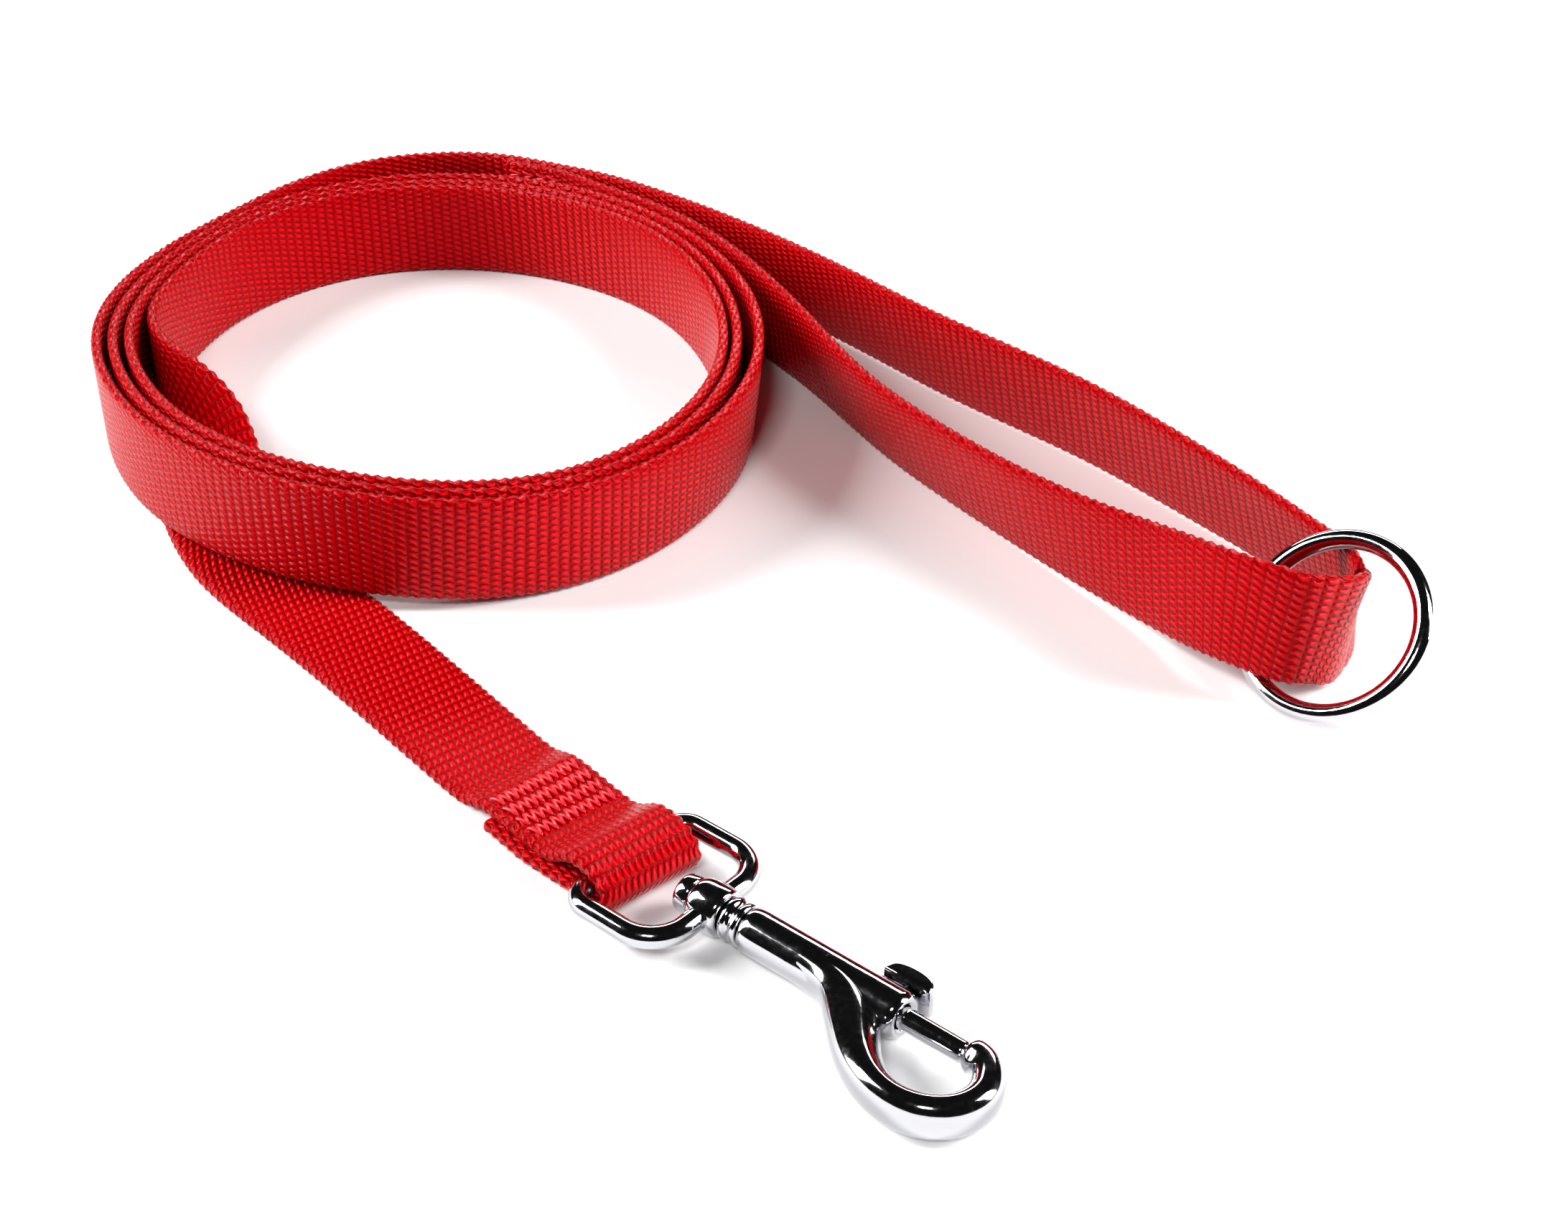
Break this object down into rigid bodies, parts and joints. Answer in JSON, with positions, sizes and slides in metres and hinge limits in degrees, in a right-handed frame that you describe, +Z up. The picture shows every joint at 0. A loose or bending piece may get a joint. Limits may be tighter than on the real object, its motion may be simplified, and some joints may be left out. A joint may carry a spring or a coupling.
{
  "type": "training leash",
  "caption": "Flat webbing training leash coiled on edge, with a swivel-eye bolt snap sewn to one end and a round ring threaded on its handle loop.",
  "frame": {"origin": "on the table under the middle of the whole coiled leash", "axes": "+Z up from the table; +X from the coil towards the handle's ring; +Y from the snap towards the back of the coil"},
  "size_m": [0.2861, 0.3378, 0.031],
  "materials": {
    "red_webbing": "ribbed flat woven nylon webbing, slightly glossy yarn",
    "red_thread": "twisted polyester sewing thread",
    "plated_eye": "nickel-chrome plated zinc casting, mirror finish",
    "plated_stud": "nickel-chrome plated steel stud, mirror finish",
    "plated_collar": "nickel-chrome plated steel collar, mirror finish",
    "plated_body": "nickel-chrome plated zinc casting, mirror finish",
    "plated_bolt": "nickel-chrome plated steel pin, mirror finish",
    "plated_knob": "nickel-chrome plated zinc casting, mirror finish",
    "plated_ring": "nickel-chrome plated welded steel wire, mirror finish",
    "spring_wire": "drawn spring wire, unplated"
  },
  "bodies": {
    "strap": {"webbing_hook_end": "red_webbing", "webbing_coil": "red_webbing", "webbing_handle": "red_webbing", "hook_seam_1": "red_thread", "hook_seam_2": "red_thread", "hook_seam_3": "red_thread", "hook_seam_4": "red_thread", "handle_seam_1": "red_thread", "handle_seam_2": "red_thread", "handle_seam_3": "red_thread", "handle_seam_4": "red_thread"},
    "eye": {"swivel_eye": "plated_eye"},
    "snap": {"swivel_stud": "plated_stud", "end_collar": "plated_collar", "snap_body": "plated_body", "return_spring": "spring_wire"},
    "bolt": {"bolt_pin": "plated_bolt", "thumb_knob": "plated_knob"},
    "ring": {"handle_ring": "plated_ring"}
  },
  "joints": [
    {"name": "eye_swing", "type": "hinge", "parent": "strap", "child": "eye", "pos_m": [-0.00978, -0.10355, 0.00485], "axis": [-0.6494, -0.7604, 0], "range_deg": [0, 150]},
    {"name": "snap_swivel", "type": "hinge", "parent": "eye", "child": "snap", "pos_m": [0.00961, -0.12011, 0.00485], "axis": [-0.7604, 0.6494, 0], "continuous": true},
    {"name": "bolt_slide", "type": "slide", "parent": "snap", "child": "bolt", "axis": [-0.7604, 0.6494, 0], "range_m": [0, 0.0115], "stiffness_N_per_m": 150, "springref_m": -0.004, "deforming": ["return_spring"]},
    {"name": "ring_spin", "type": "hinge", "parent": "strap", "child": "ring", "pos_m": [0.12591, -0.04611, 0.01549], "axis": [-0.5406, -0.4655, 0.7008], "continuous": true}
  ]
}
